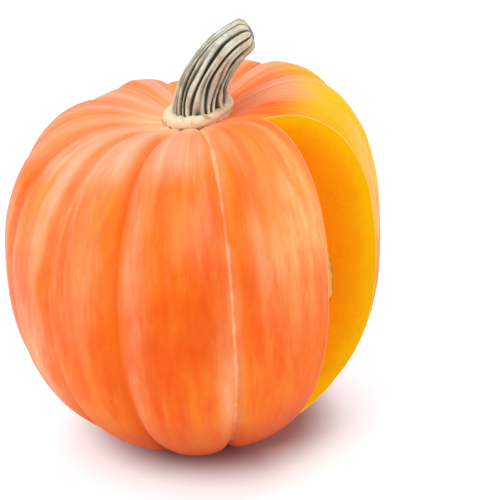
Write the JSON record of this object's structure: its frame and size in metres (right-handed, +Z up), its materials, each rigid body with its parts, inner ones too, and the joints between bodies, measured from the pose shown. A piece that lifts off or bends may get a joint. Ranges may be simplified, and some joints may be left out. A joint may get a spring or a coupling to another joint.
{
  "type": "pumpkin with a wedge cut out",
  "caption": "Ripe ribbed orange pumpkin with a curved woody stem and a wedge cut out of one side, showing its flesh, pulp and seeds; rests on a small flat spot.",
  "frame": {"origin": "on the resting spot, under the blossom end", "axes": "+Z up; the wedge is cut out on the right (+X) and opens to the front right; -Y is the front"},
  "size_m": [0.2434, 0.2596, 0.2836],
  "materials": {
    "rind": "waxy, low gloss, orange rind with golden flesh where it is cut",
    "pulp": "moist orange fibres",
    "stalk": "dry, furrowed, matt",
    "seed_coat": "smooth, slightly moist"
  },
  "bodies": {
    "root": {"pumpkin_body": "rind", "seed_pulp": "pulp", "stem": "stalk", "seed_01": "seed_coat", "seed_02": "seed_coat", "seed_03": "seed_coat", "seed_04": "seed_coat", "seed_05": "seed_coat", "seed_06": "seed_coat", "seed_07": "seed_coat", "seed_08": "seed_coat", "seed_09": "seed_coat", "seed_10": "seed_coat", "seed_11": "seed_coat", "seed_12": "seed_coat", "seed_13": "seed_coat", "seed_14": "seed_coat", "seed_15": "seed_coat"}
  },
  "joints": []
}
